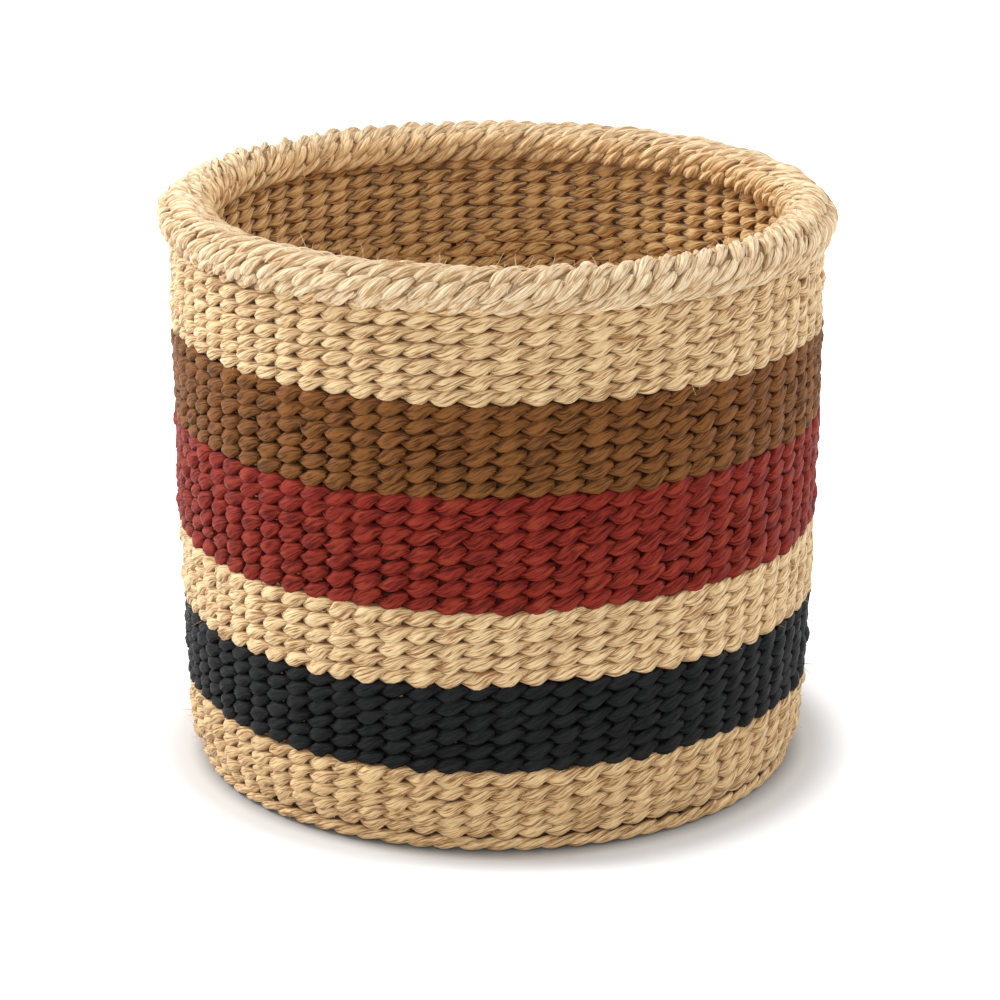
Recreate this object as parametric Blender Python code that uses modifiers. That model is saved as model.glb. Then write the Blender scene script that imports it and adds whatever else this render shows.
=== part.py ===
"""Kiondo basket of twined sisal, built from the centre of the base outwards.

Upright cords (warps) start as a cross under the base, more are folded in as the base widens, and all
of them turn up into the wall. Pairs of weft strands are twined round them in bands of natural, brown,
red and black sisal, and the warp ends finish in a thick bound rim. Metres, +Z up, origin on the floor
under the centre of the base.
"""

import math

import bmesh
import bpy
from mathutils import Matrix, Vector

MM = 0.001

# Wall of the basket
BELLY_RADIUS = 122.0 * MM
BELLY_HEIGHT = 173.0 * MM
FOOT_OUTER_RADIUS = 117.4 * MM
WALL_THICKNESS = 8.4 * MM

# Heights of the coloured bands of weft, from the foot up
FOOT_BAND_HEIGHT = 29.1 * MM
BLACK_BAND_HEIGHT = 31.5 * MM
MIDDLE_BAND_HEIGHT = 29.5 * MM
RED_BAND_HEIGHT = 41.3 * MM
BROWN_BAND_HEIGHT = 34.0 * MM
TOP_BAND_HEIGHT = 32.0 * MM

# Base
BASE_THICKNESS = 8.0 * MM
START_WEFT_INNER_RADIUS = 12.4 * MM
FIRST_ADDING_RADIUS = 31.0 * MM
SECOND_ADDING_RADIUS = 60.0 * MM
CORNER_WEFT_WIDTH = 11.3 * MM

# Heavier cord twined round the edge of the base
FOOT_CORD_DIAMETER = 5.6 * MM
FOOT_CORD_INSET = 1.2 * MM

# Upright cords, flat bundles of sisal fibre
WARP_WIDTH = 3.2 * MM
WARP_THICKNESS = 2.6 * MM
CROSS_REACH = 11.0 * MM
CROSS_SETTLE_RADIUS = 17.0 * MM
FOLD_SETBACK = 3.6 * MM
FOLD_DEPTH = 3.0 * MM
CORNER_COVER_OUTSIDE = 1.0 * MM
CORNER_COVER_INSIDE = 2.0 * MM

# Rim: a roll of turned-down warp ends inside a braided binding
RIM_WIDTH = 19.4 * MM
RIM_HEIGHT = 15.6 * MM
RIM_OVERHANG = 3.2 * MM
RIM_CORE_WIDTH = 8.6 * MM
RIM_CORE_HEIGHT = 5.4 * MM

# Fits
GAP = 0.3 * MM
CUTTER_OVERRUN = 2.0 * MM

# Counts: each start warp gives two legs, and each leg ends as four warps side by side in the wall
START_WARPS = 9
CROSS_LOWER_WARPS = 5
START_LEGS = 2 * START_WARPS
WALL_WARPS = 4 * START_LEGS
RING_STEPS = WALL_WARPS // 2
RIM_STEPS = 48
FOOT_CORD_SIDES = 8
RIM_ARC_POINTS = 11

# Colours of the sisal, as screen values from 0 to 255
NATURAL = (222, 190, 145)
BROWN = (106, 68, 40)
RED = (132, 46, 40)
BLACK = (40, 40, 42)
SISAL_ROUGHNESS = 0.75

LEG_STEP_DEGREES = 360 / START_LEGS
WARP_STEP_DEGREES = 360 / WALL_WARPS

NOTCH_HEIGHT = FOOT_CORD_DIAMETER + GAP
FOOT_CORD_RADIUS = FOOT_OUTER_RADIUS - FOOT_CORD_INSET - FOOT_CORD_DIAMETER / 2
NOTCH_RADIUS = FOOT_CORD_RADIUS - FOOT_CORD_DIAMETER / 2 - GAP
BASE_WEFT_OUTER_RADIUS = NOTCH_RADIUS - CORNER_WEFT_WIDTH
WARP_LEVEL = BASE_THICKNESS / 2
MERGE_DISTANCE = GAP / 10


def wall_outer_radius(height):
    """Outer radius of the wall: a shallow curve from the foot, widest at the belly."""
    share = (height - BELLY_HEIGHT) / (BELLY_HEIGHT - NOTCH_HEIGHT)
    return BELLY_RADIUS - (BELLY_RADIUS - FOOT_OUTER_RADIUS) * share * share


def band_levels():
    """Heights of the edges between the bands, from the top of the foot cord to the rim."""
    levels = [NOTCH_HEIGHT]
    for height in (
        FOOT_BAND_HEIGHT,
        BLACK_BAND_HEIGHT,
        MIDDLE_BAND_HEIGHT,
        RED_BAND_HEIGHT,
        BROWN_BAND_HEIGHT,
        TOP_BAND_HEIGHT,
    ):
        levels.append(levels[-1] + height)
    return levels


LEVELS = band_levels()
RIM_BOTTOM = LEVELS[-1] + GAP / 2
RIM_MIDDLE = RIM_BOTTOM + RIM_HEIGHT / 2
RIM_RADIUS = wall_outer_radius(LEVELS[-1]) + RIM_OVERHANG - RIM_WIDTH / 2
WARP_TOP = RIM_MIDDLE - RIM_CORE_HEIGHT / 2 - GAP
WARP_TOP_RADIUS = wall_outer_radius(LEVELS[-1]) - WALL_THICKNESS / 2

# The warps turn the corner on a slope of 45 degrees, where radius minus height has this value
CORNER_OFFSET = (WARP_THICKNESS / 2 + GAP + CORNER_COVER_OUTSIDE) * math.sqrt(2)
CORNER_LINE = NOTCH_RADIUS - NOTCH_HEIGHT - CORNER_OFFSET
CORNER_TOP_RADIUS = FOOT_OUTER_RADIUS - WALL_THICKNESS / 2
CORNER_TOP = (CORNER_TOP_RADIUS, CORNER_TOP_RADIUS - CORNER_LINE)
CORNER_BOTTOM = (CORNER_LINE + WARP_LEVEL, WARP_LEVEL)
INNER_OFFSET = (WARP_THICKNESS / 2 + GAP + CORNER_COVER_INSIDE) * math.sqrt(2)
INNER_CORNER_LINE = CORNER_LINE - INNER_OFFSET


def clear_scene():
    for item in list(bpy.data.objects):
        bpy.data.objects.remove(item, do_unlink=True)


def new_collection(name):
    collection = bpy.data.collections.new(name)
    bpy.context.scene.collection.children.link(collection)
    return collection


def linear(screen):
    """A screen colour as the linear colour that a material takes."""
    values = []
    for level in screen:
        share = level / 255
        values.append(share / 12.92 if share <= 0.04045 else ((share + 0.055) / 1.055) ** 2.4)
    return (*values, 1.0)


def new_material(name, screen):
    material = bpy.data.materials.new(name)
    material.use_nodes = True
    shader = material.node_tree.nodes["Principled BSDF"]
    shader.inputs["Base Color"].default_value = linear(screen)
    shader.inputs["Roughness"].default_value = SISAL_ROUGHNESS
    shader.inputs["Metallic"].default_value = 0.0
    material.diffuse_color = linear(screen)
    return material


def as_cutter(item):
    item.hide_render = True
    item.display_type = "WIRE"


def polar(radius, degrees, height):
    angle = math.radians(degrees)
    return (radius * math.cos(angle), radius * math.sin(angle), height)


def turned(name, profile, steps, material, collection):
    """A ring: a closed outline of (radius, height) points, clockwise, turned round the Z axis."""
    mesh = bpy.data.meshes.new(name)
    count = len(profile)
    points = [(radius, 0.0, height) for radius, height in profile]
    mesh.from_pydata(points, [(i, (i + 1) % count) for i in range(count)], [])
    mesh.materials.append(material)
    item = bpy.data.objects.new(name, mesh)
    collection.objects.link(item)
    screw = item.modifiers.new("Turn", "SCREW")
    screw.axis = "Z"
    screw.angle = math.radians(360)
    screw.steps = steps
    screw.render_steps = steps
    screw.use_merge_vertices = True
    screw.merge_threshold = MERGE_DISTANCE
    screw.use_smooth_shade = True
    return item


def keep_flats(item):
    """Smooth shading that leaves the flat faces of a ring looking flat."""
    normals = item.modifiers.new("Flat faces", "WEIGHTED_NORMAL")
    normals.mode = "FACE_AREA"


def cut_channels(item, channels):
    """The weft encloses each warp that passes through it."""
    cut = item.modifiers.new("Warp channels", "BOOLEAN")
    cut.operation = "DIFFERENCE"
    cut.solver = "EXACT"
    cut.operand_type = "COLLECTION"
    cut.collection = channels


def section_curve(name, width, thickness, collection):
    """The flat cross-section of a warp, as the outline that its curve carries along."""
    curve = bpy.data.curves.new(name, "CURVE")
    curve.dimensions = "2D"
    curve.fill_mode = "NONE"
    spline = curve.splines.new("POLY")
    corners = [(-1, -1), (-1, 1), (1, 1), (1, -1)]
    spline.points.add(len(corners) - 1)
    for point, (across, through) in zip(spline.points, corners):
        point.co = (across * width / 2, through * thickness / 2, 0.0, 1.0)
    spline.use_cyclic_u = True
    item = bpy.data.objects.new(name, curve)
    as_cutter(item)
    collection.objects.link(item)
    return item


def cord(name, points, section, material, collection):
    """A flat cord along a path of points, with closed ends.

    The path is turned to start over the X axis and its object is turned back, because the way that
    a section first faces depends on the direction of the path.
    """
    heading = math.atan2(points[0][1], points[0][0])
    turn_back = Matrix.Rotation(-heading, 3, "Z")
    curve = bpy.data.curves.new(name, "CURVE")
    curve.dimensions = "3D"
    curve.bevel_mode = "OBJECT"
    curve.bevel_object = section
    curve.use_fill_caps = True
    spline = curve.splines.new("POLY")
    spline.points.add(len(points) - 1)
    for point, place in zip(spline.points, points):
        point.co = (*(turn_back @ Vector(place)), 1.0)
    if material:
        curve.materials.append(material)
    item = bpy.data.objects.new(name, curve)
    item.rotation_euler.z = heading
    collection.objects.link(item)
    return item


def channel_cutter(name, points, section, guides, channels):
    """The closed mesh that cuts one warp's channel."""
    curve_item = cord(name + "_path", points, section, None, guides)
    bpy.context.view_layer.update()
    evaluated = curve_item.evaluated_get(bpy.context.evaluated_depsgraph_get())
    mesh = bpy.data.meshes.new_from_object(evaluated)
    weld(mesh)
    item = bpy.data.objects.new(name, mesh)
    item.matrix_world = curve_item.matrix_world
    as_cutter(item)
    channels.objects.link(item)
    bpy.data.objects.remove(curve_item, do_unlink=True)


def weld(mesh):
    work = bmesh.new()
    work.from_mesh(mesh)
    bmesh.ops.remove_doubles(work, verts=work.verts, dist=MERGE_DISTANCE)
    bmesh.ops.recalc_face_normals(work, faces=work.faces)
    work.to_mesh(mesh)
    work.free()


def wall_leg(degrees, overrun):
    """The part of a warp from the corner of the base up to the rim."""
    bend_height = LEVELS[3]
    bend_radius = wall_outer_radius(bend_height) - WALL_THICKNESS / 2
    return [
        polar(CORNER_BOTTOM[0], degrees, CORNER_BOTTOM[1]),
        polar(CORNER_TOP[0], degrees, CORNER_TOP[1]),
        polar(bend_radius, degrees, bend_height),
        polar(WARP_TOP_RADIUS, degrees, WARP_TOP + overrun),
    ]


def start_leg_degrees(index):
    """Where a start leg leaves the centre; index counts the legs round the base."""
    return LEG_STEP_DEGREES * (index + 1 / 2)


def second_stage_degrees(first_stage):
    """Where a leg moves to, so that a folded warp finds room between each two legs."""
    place = first_stage % LEG_STEP_DEGREES
    half_step = WARP_STEP_DEGREES / 2
    return first_stage + (half_step if place < LEG_STEP_DEGREES / 2 else -half_step)


def start_leg(index, overrun):
    """One half of a start warp, from the cross to the rim; the legs draw together in pairs."""
    degrees = start_leg_degrees(index)
    first = degrees + (WARP_STEP_DEGREES if index % 2 == 0 else -WARP_STEP_DEGREES)
    second = second_stage_degrees(first)
    return [
        polar(CROSS_SETTLE_RADIUS, degrees, WARP_LEVEL),
        polar(FIRST_ADDING_RADIUS, first, WARP_LEVEL),
        polar(SECOND_ADDING_RADIUS, second, WARP_LEVEL),
    ] + wall_leg(second, overrun)


def start_warp(number, overrun):
    """A start warp runs across the centre: the lower ones lie side by side, the others cross over."""
    upper = number >= CROSS_LOWER_WARPS
    group = START_WARPS - CROSS_LOWER_WARPS if upper else CROSS_LOWER_WARPS
    rank = number - CROSS_LOWER_WARPS if upper else number
    side = rank - (group - 1) / 2
    first_leg = number - CROSS_LOWER_WARPS // 2
    heading = start_leg_degrees(first_leg - side)
    offset = side * (WARP_WIDTH + GAP)
    along = math.sqrt(CROSS_REACH**2 - offset**2)
    step = (WARP_THICKNESS + GAP) / 2
    level = WARP_LEVEL + (step if upper else -step)
    near = math.degrees(math.atan2(offset, along))
    here = polar(CROSS_REACH, heading + near, level)
    there = polar(CROSS_REACH, heading + 180 - near, level)
    outward = start_leg(first_leg % START_LEGS, overrun)
    # The far leg of the same cord is opposite the near one, mirrored across the group
    opposite = first_leg + START_WARPS - round(2 * side)
    inward = start_leg(opposite % START_LEGS, overrun)
    return inward[::-1] + [there, here] + outward


def folded_warp(middle, half_spread, radius, stages, overrun):
    """A warp folded in half, its two legs on either side of the middle angle."""
    fold_radius = radius + FOLD_SETBACK
    legs = []
    for side in (-1, 1):
        degrees = middle + side * half_spread
        leg = [
            polar(fold_radius, middle + side * half_spread / 2, WARP_LEVEL),
            polar(fold_radius + FOLD_DEPTH, degrees, WARP_LEVEL),
        ]
        if stages == 2:
            degrees = second_stage_degrees(degrees)
            leg.append(polar(SECOND_ADDING_RADIUS, degrees, WARP_LEVEL))
        legs.append(leg + wall_leg(degrees, overrun))
    return legs[0][::-1] + legs[1]


def warp_paths(overrun):
    """Every warp's name and path; overrun lengthens its ends, for the channels."""
    paths = []
    for number in range(START_WARPS):
        paths.append((f"start_warp_{number + 1}", start_warp(number, overrun)))
    for number in range(START_LEGS // 2):
        middle = 2 * LEG_STEP_DEGREES * number
        path = folded_warp(middle, WARP_STEP_DEGREES, FIRST_ADDING_RADIUS, 2, overrun)
        paths.append((f"first_added_warp_{number + 1}", path))
    for number in range(START_LEGS):
        middle = LEG_STEP_DEGREES * number
        path = folded_warp(middle, WARP_STEP_DEGREES / 2, SECOND_ADDING_RADIUS, 1, overrun)
        paths.append((f"second_added_warp_{number + 1}", path))
    return paths


def base_ring(name, inner, outer, material, collection):
    profile = [(outer, BASE_THICKNESS), (outer, 0.0), (inner, 0.0), (inner, BASE_THICKNESS)]
    return turned(name, profile, RING_STEPS, material, collection)


def foot_weft(material, collection):
    """Natural weft that turns the corner of the base and climbs to the black band."""
    top = LEVELS[1] - GAP / 2
    inner_wall = FOOT_OUTER_RADIUS - WALL_THICKNESS
    inner_edge = BASE_WEFT_OUTER_RADIUS + GAP / 2
    profile = [
        (wall_outer_radius(top), top),
        (FOOT_OUTER_RADIUS, NOTCH_HEIGHT),
        (NOTCH_RADIUS, NOTCH_HEIGHT),
        (NOTCH_RADIUS, 0.0),
        (inner_edge, 0.0),
        (inner_edge, BASE_THICKNESS),
        (INNER_CORNER_LINE + BASE_THICKNESS, BASE_THICKNESS),
        (inner_wall, inner_wall - INNER_CORNER_LINE),
        (wall_outer_radius(top) - WALL_THICKNESS, top),
    ]
    return turned("foot_weft", profile, RING_STEPS, material, collection)


def wall_band(name, level, material, collection):
    """One coloured band of the wall, between two band edges."""
    low = LEVELS[level] + GAP / 2
    high = LEVELS[level + 1] - GAP / 2
    profile = [
        (wall_outer_radius(high), high),
        (wall_outer_radius(low), low),
        (wall_outer_radius(low) - WALL_THICKNESS, low),
        (wall_outer_radius(high) - WALL_THICKNESS, high),
    ]
    return turned(name, profile, RING_STEPS, material, collection)


def foot_cord(material, collection):
    bpy.ops.mesh.primitive_torus_add(
        major_radius=FOOT_CORD_RADIUS,
        minor_radius=FOOT_CORD_DIAMETER / 2,
        major_segments=RIM_STEPS,
        minor_segments=FOOT_CORD_SIDES,
        location=(0, 0, FOOT_CORD_DIAMETER / 2),
    )
    item = bpy.context.object
    item.name = "foot_cord"
    item.data.materials.append(material)
    item.data.shade_smooth()
    for holder in list(item.users_collection):
        holder.objects.unlink(item)
    collection.objects.link(item)


def rim_core(material, collection):
    """The warp ends, turned down and laid along the rim."""
    half_width = RIM_CORE_WIDTH / 2
    half_height = RIM_CORE_HEIGHT / 2
    profile = [
        (RIM_RADIUS + half_width / 2, RIM_MIDDLE + half_height),
        (RIM_RADIUS + half_width, RIM_MIDDLE),
        (RIM_RADIUS + half_width, RIM_MIDDLE - half_height),
        (RIM_RADIUS - half_width, RIM_MIDDLE - half_height),
        (RIM_RADIUS - half_width, RIM_MIDDLE),
        (RIM_RADIUS - half_width / 2, RIM_MIDDLE + half_height),
    ]
    return turned("rim_core", profile, RIM_STEPS, material, collection)


def rim_binding(material, collection):
    """The braided cover of the rim, open below where the warps come up into it."""
    slot_out = WARP_TOP_RADIUS + WARP_THICKNESS / 2 + GAP
    slot_in = WARP_TOP_RADIUS - WARP_THICKNESS / 2 - GAP
    half_width = RIM_CORE_WIDTH / 2 + GAP
    half_height = RIM_CORE_HEIGHT / 2 + GAP
    inner_lip = -math.acos((slot_in - RIM_RADIUS) / (RIM_WIDTH / 2))
    outer_lip = -math.acos((slot_out - RIM_RADIUS) / (RIM_WIDTH / 2)) - 2 * math.pi
    # The arc runs from the slot's inner lip up the inside, over the top and down the outside
    arc = []
    for index in range(RIM_ARC_POINTS):
        share = index / (RIM_ARC_POINTS - 1)
        angle = inner_lip + share * (outer_lip - inner_lip)
        radius = RIM_RADIUS + RIM_WIDTH / 2 * math.cos(angle)
        arc.append((radius, RIM_MIDDLE + RIM_HEIGHT / 2 * math.sin(angle)))
    floor = RIM_MIDDLE - half_height
    cavity = [
        (slot_out, floor),
        (RIM_RADIUS + half_width, floor),
        (RIM_RADIUS + half_width, RIM_MIDDLE + half_height),
        (RIM_RADIUS - half_width, RIM_MIDDLE + half_height),
        (RIM_RADIUS - half_width, floor),
        (slot_in, floor),
    ]
    return turned("rim_binding", arc + cavity, RIM_STEPS, material, collection)


def build():
    clear_scene()
    basket = new_collection("kiondo_basket")
    guides = new_collection("sections")
    channels = new_collection("warp_channels")
    natural = new_material("natural_sisal", NATURAL)
    brown = new_material("brown_sisal", BROWN)
    red = new_material("red_sisal", RED)
    black = new_material("black_sisal", BLACK)

    section = section_curve("warp_section", WARP_WIDTH, WARP_THICKNESS, guides)
    wide = WARP_WIDTH + 2 * GAP
    thick = WARP_THICKNESS + 2 * GAP
    channel_section = section_curve("channel_section", wide, thick, guides)
    for name, points in warp_paths(CUTTER_OVERRUN):
        channel_cutter(name + "_channel", points, channel_section, guides, channels)
    for name, points in warp_paths(0.0):
        cord(name, points, section, natural, basket)

    wefts = [
        base_ring(
            "start_weft",
            START_WEFT_INNER_RADIUS,
            FIRST_ADDING_RADIUS - GAP / 2,
            natural,
            basket,
        ),
        base_ring(
            "base_weft",
            FIRST_ADDING_RADIUS + GAP / 2,
            BASE_WEFT_OUTER_RADIUS - GAP / 2,
            natural,
            basket,
        ),
        foot_weft(natural, basket),
        wall_band("black_band", 1, black, basket),
        wall_band("middle_band", 2, natural, basket),
        wall_band("red_band", 3, red, basket),
        wall_band("brown_band", 4, brown, basket),
        wall_band("top_band", 5, natural, basket),
    ]
    for item in wefts:
        cut_channels(item, channels)
    foot_cord(natural, basket)
    rings = [rim_core(natural, basket), rim_binding(natural, basket)]
    for item in wefts + rings:
        keep_flats(item)


build()
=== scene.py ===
import math
from typing import NamedTuple

import bpy
import numpy as np
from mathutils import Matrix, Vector


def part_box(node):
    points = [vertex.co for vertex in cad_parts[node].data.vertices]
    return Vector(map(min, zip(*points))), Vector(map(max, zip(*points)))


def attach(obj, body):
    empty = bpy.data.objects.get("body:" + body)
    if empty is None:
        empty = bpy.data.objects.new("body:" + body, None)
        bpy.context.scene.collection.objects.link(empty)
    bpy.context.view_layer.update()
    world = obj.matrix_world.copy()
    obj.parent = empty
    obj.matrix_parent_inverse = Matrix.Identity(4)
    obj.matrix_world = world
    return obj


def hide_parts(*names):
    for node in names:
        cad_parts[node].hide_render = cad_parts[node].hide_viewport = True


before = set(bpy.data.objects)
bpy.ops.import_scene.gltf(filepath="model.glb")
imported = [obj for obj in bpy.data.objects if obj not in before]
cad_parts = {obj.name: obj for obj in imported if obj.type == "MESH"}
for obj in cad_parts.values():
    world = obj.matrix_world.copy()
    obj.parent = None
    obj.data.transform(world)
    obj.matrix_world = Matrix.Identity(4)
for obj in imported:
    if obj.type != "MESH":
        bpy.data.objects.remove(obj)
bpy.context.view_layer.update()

bl_info = {
    "name": "Kiondo basket",
    "version": (1, 0, 0),
    "blender": (4, 5, 0),
    "location": "View3D > Sidebar > Kiondo",
    "description": "Weaves the strands of a twined sisal basket round its CAD frame",
    "category": "Object",
}

MM = 0.001
FULL_TURN = 2 * math.pi

# Weave: 72 stitches round the wall, one row of stitches climbing with each turn. The lowest row is cut
# off below LOWEST_ROW, and the top band runs on under the rim
STITCHES = 72
STITCH_ANGLE = FULL_TURN / STITCHES
TURN_START = math.radians(92.5)
GAP = 0.3 * MM
BASE_ROW_PITCH = 5.3 * MM
TOP_ROW_PITCH = 5.3 * MM
ROWS_IN_RIM = 0.9
LOWEST_ROW = -0.3
ROWS_ABOVE_TOP = 1.5

# Row coordinate that no strand of the wall goes below, so that none is drawn under the base
LOWEST_PLACE = 0.01

# How far the strands of a band run past its ends, in stitches
BAND_OVERLAP = 0.3

# Size of a strand's end as a share of its full size, and how long it tapers, in stitches
END_SIZE = 0.25
END_LENGTH = 0.5

# Rings of points in one stitch of a strand
WALL_SAMPLES = 9
BASE_SAMPLES = 7
CORD_SAMPLES = 12
CORNER_SAMPLES = 8

# Unevenness at its full: a bead's shift and the rows' wander in rows, its swell and lean as shares, the
# columns' sway in stitches, and lengths in metres
BEAD_SHIFT = 0.06
BEAD_PUSH = 0.28 * MM
BEAD_SWELL = 0.07
LEAN_SPREAD = 0.24
ROW_WANDER = 0.09
WALL_WANDER = 0.35 * MM
COLUMN_SWAY = 0.07

# Beads of the coloured bands: half length in stitches, where they lie as they fold back and at least
# elsewhere, from 0 at the wall's middle to 1 at its skin, and half thickness of the inner ones' tips
BEAD_REACH = 0.6
FOLD_SWING = 0.3
OUTER_SWING = -0.1
INNER_SWING = 0.46
INNER_TIP = 1.0 * MM

# Filling between the outer and inner strands: half sizes, and half height as a share of a row
FILLING_DEPTH = 1.3 * MM
FILLING_WIDTH = 4.2 * MM
FILLING_SHARE = 0.56

# How far up and down the height of a row is measured, in rows, and its least and greatest height
PITCH_STEP = 0.1
LEAST_PITCH = 4.6 * MM
MOST_PITCH = 6.2 * MM

# The bands from the foot up: CAD node, tone, slot, rows of stitches
BANDS = (
    ("foot_weft", "foot", "natural_sisal", 5),
    ("black_band", "black", "black_sisal", 6),
    ("middle_band", "natural", "natural_sisal", 5),
    ("red_band", "red", "red_sisal", 7),
    ("brown_band", "brown", "brown_sisal", 6),
    ("top_band", "natural", "natural_sisal", 6),
)
ROW_MARKS = [0]
for *_, band_rows in BANDS:
    ROW_MARKS.append(ROW_MARKS[-1] + band_rows)
TOP_ROW = ROW_MARKS[-1]

# Edges between the bands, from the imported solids
LEVELS = [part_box("foot_cord")[1][2] + GAP]
for band_node, *_ in BANDS:
    LEVELS.append(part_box(band_node)[1][2] + GAP / 2)

# Wall outline, the same curve as the solids
BELLY_RADIUS = 122.0 * MM
BELLY_HEIGHT = 173.0 * MM
FOOT_OUTER_RADIUS = 117.4 * MM
BASE_THICKNESS = 8.0 * MM
WALL_THICKNESS = 8.4 * MM
NOTCH_RADIUS = 110.3 * MM
START_RADIUS = 12.4 * MM
FIRST_ADDING_RADIUS = 31.0 * MM
SECOND_ADDING_RADIUS = 60.0 * MM

# Inside of the corner between base and wall, as (row, radius, height)
INNER_CORNER = (
    (-0.5, 103.6 * MM, 8.3 * MM),
    (0.5, 107.0 * MM, 11.4 * MM),
    (1.5, 109.2 * MM, 15.2 * MM),
)

# Cord of weft in that corner: its ring, how far each ply lies from it and a ply's half size
CORNER_RADIUS = 106.8 * MM
CORNER_HEIGHT = 9.4 * MM
PLY_OFFSET = 1.0 * MM
CORNER_PLY = 1.9 * MM

# Turn of the fibres of that cord and the foot cord in one stitch, in radians
PLY_TWIST = 0.6

# Foot cord: how unevenly its strands lie, swell and lean over, then in radii of its solid how far they
# go in and out, up and down, the height of its middle, and their half sizes, narrow inside, wide outside
CORD_SWAY = 0.12
CORD_SWELL = 0.06
CORD_LEAN = 0.45
CORD_OUT = 0.43
CORD_UP = 0.6
CORD_MIDDLE = 1.28
CORD_DEPTH = 0.52
CORD_WIDTHS = (0.4, 0.68)

# Where the shade at a strand's two edges sets in and how soon it is full, as shares of its half width
EDGE_START = 0.7
EDGE_FADE = 0.27

# Depth of the grooves between fibres, as a share of a strand's half size
CORD_RELIEF = 0.09
WARP_RELIEF = 0.12
RIM_RELIEF = 0.1

# Rim: middle of the roll and half its size
RIM_RADIUS = 115.35 * MM
RIM_MIDDLE = 211.25 * MM
RIM_HALF_WIDTH = 9.7 * MM
RIM_HALF_HEIGHT = 7.8 * MM


def linear(screen):
    """A screen colour from 0 to 1 as the linear colour that a shader takes."""
    return [c / 12.92 if c <= 0.04045 else ((c + 0.055) / 1.055) ** 2.4 for c in screen]


def colour_property(name, description, screen):
    """A colour that a user may change, written as screen values from 0 to 255."""
    return bpy.props.FloatVectorProperty(
        name=name,
        description=description,
        subtype="COLOR",
        size=3,
        min=0.0,
        max=1.0,
        default=linear([value / 255 for value in screen]),
    )


def length_property(name, description, default):
    return bpy.props.FloatProperty(
        name=name, description=description, default=default, min=0.0, subtype="DISTANCE", unit="LENGTH"
    )


def share_property(name, description, default, low=0.0, high=1.0):
    return bpy.props.FloatProperty(
        name=name, description=description, default=default, min=low, max=high, subtype="FACTOR"
    )


class KIONDO_PG_weave(bpy.types.PropertyGroup):
    """Sizes of the weft strands."""

    swing: length_property("Swing", "How far a strand moves in and out of the wall", 2.1 * MM)
    face_at_bead: length_property("Bead depth", "Half thickness of a strand where it shows", 2.05 * MM)
    face_at_tip: length_property("Tip depth", "Half thickness where it passes between warps", 2.2 * MM)
    skew: share_property("Skew", "How far a bead's middle is moved along its strand, in radians", 0.33)
    overlap: share_property("Overlap", "How far beads stay outside between warps, in radians", 0.2)
    edge_at_bead: share_property("Bead height", "Half height of a bead, as a share of a row", 0.575)
    edge_at_tip: share_property("Tip height", "Half height at the tip, as a share of a row", 0.3)
    twist: share_property("Twist", "Turn of the fibres in one stitch, in radians", 0.6, 0.0, 3.0)
    lean: share_property("Lean", "Rise of a bead from its middle to its tip, in rows", 0.255)
    unevenness: share_property("Unevenness", "How much beads differ from each other", 1.0, 0.0, 3.0)
    fibre_relief: share_property("Fibre relief", "Depth of the grooves between fibres", 0.085)


class KIONDO_PG_shape(bpy.types.PropertyGroup):
    """How the hand-made basket leaves a true ring."""

    row_drift: share_property("Row drift", "How much the rows leave their even heights", 1.0)
    rim_tilt: length_property("Rim tilt", "How much lower the rim is at the back", 2.3 * MM)
    rim_roll: length_property("Rim roll", "How far the rim is raised at its left", 0.8 * MM)
    front_sag: length_property("Front sag", "How far the rows sag a little left of the front", 0.8 * MM)
    front_rise: length_property("Front rise", "How far the black band rises at the front", 2.6 * MM)
    foot_inset: length_property("Foot inset", "How far the foot cord is drawn in", 2.7 * MM)
    foot_shift: length_property("Foot shift", "How far the foot stands to the left", 0.7 * MM)


class KIONDO_PG_colours(bpy.types.PropertyGroup):
    """Light and dark tones of each dyed or undyed sisal. The dark tones serve both darker fibres and the
    painted shade in grooves and deep in the weave.
    """

    natural_light: colour_property("Natural light", "Sunlit undyed fibre", (244, 213, 162))
    natural_dark: colour_property("Natural dark", "Undyed fibre in the grooves", (152, 106, 57))
    foot_light: colour_property("Foot light", "More golden fibre at the foot", (232, 198, 145))
    foot_dark: colour_property("Foot dark", "Golden fibre in the grooves", (142, 98, 52))
    # The rim's tones are a lighter copy of the undyed ones: painted top light on the rim
    rim_light: colour_property("Rim light", "Bleached fibre of the rim", (252, 231, 194))
    rim_dark: colour_property("Rim dark", "Rim fibre in the grooves", (192, 150, 99))
    # Painted shade: a warm tint multiplied onto the inside of the basket
    inside_painted_shade: colour_property("Inside tint", "Multiplies the colour of the inside", (255, 241, 216))
    brown_light: colour_property("Brown light", "Worn brown fibre", (133, 85, 42))
    brown_dark: colour_property("Brown dark", "Deep brown fibre", (75, 43, 18))
    red_light: colour_property("Red light", "Worn red fibre", (142, 45, 32))
    red_dark: colour_property("Red dark", "Deep red fibre", (83, 16, 9))
    black_light: colour_property("Black light", "Worn black fibre", (27, 28, 28))
    black_dark: colour_property("Black dark", "Deep black fibre", (6, 6, 7))


def lerp(low, high, share):
    return low + (high - low) * share


def wall_outer_radius(height):
    """Outer radius of the wall, widest at the belly."""
    share = (height - BELLY_HEIGHT) / (BELLY_HEIGHT - LEVELS[0])
    return BELLY_RADIUS - (BELLY_RADIUS - FOOT_OUTER_RADIUS) * share * share


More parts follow.
